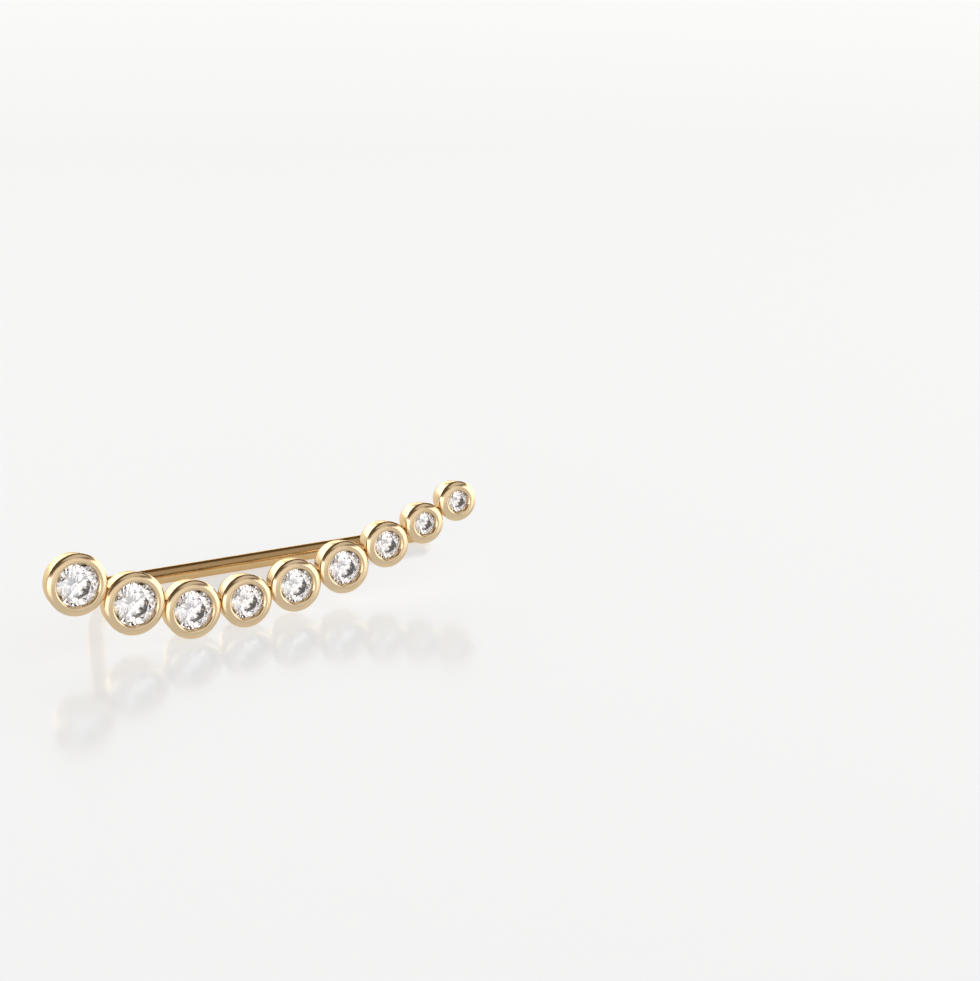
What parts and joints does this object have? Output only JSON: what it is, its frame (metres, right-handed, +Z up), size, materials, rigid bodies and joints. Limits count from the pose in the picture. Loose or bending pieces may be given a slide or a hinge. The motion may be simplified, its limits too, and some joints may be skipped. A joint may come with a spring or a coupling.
{
  "type": "ear climber",
  "caption": "Ear climber earring: a shallow crescent of round bezel cups soldered side by side, set with brilliant cut stones, with one straight ear wire soldered behind its large end.",
  "frame": {"origin": "on the floor under the middle of the piece's box, as it lies in the picture", "axes": "+X along the row from the largest cup to the smallest, +Y back from the stones towards the ear wire, +Z up"},
  "size_m": [0.0222, 0.0074, 0.0052],
  "materials": {
    "gold": "polished yellow gold",
    "stone": "clear and colourless, facet cut"
  },
  "bodies": {
    "root": {"setting": "gold", "stone_1": "stone", "stone_2": "stone", "stone_3": "stone", "stone_4": "stone", "stone_5": "stone", "stone_6": "stone", "stone_7": "stone", "stone_8": "stone", "stone_9": "stone"}
  },
  "joints": []
}
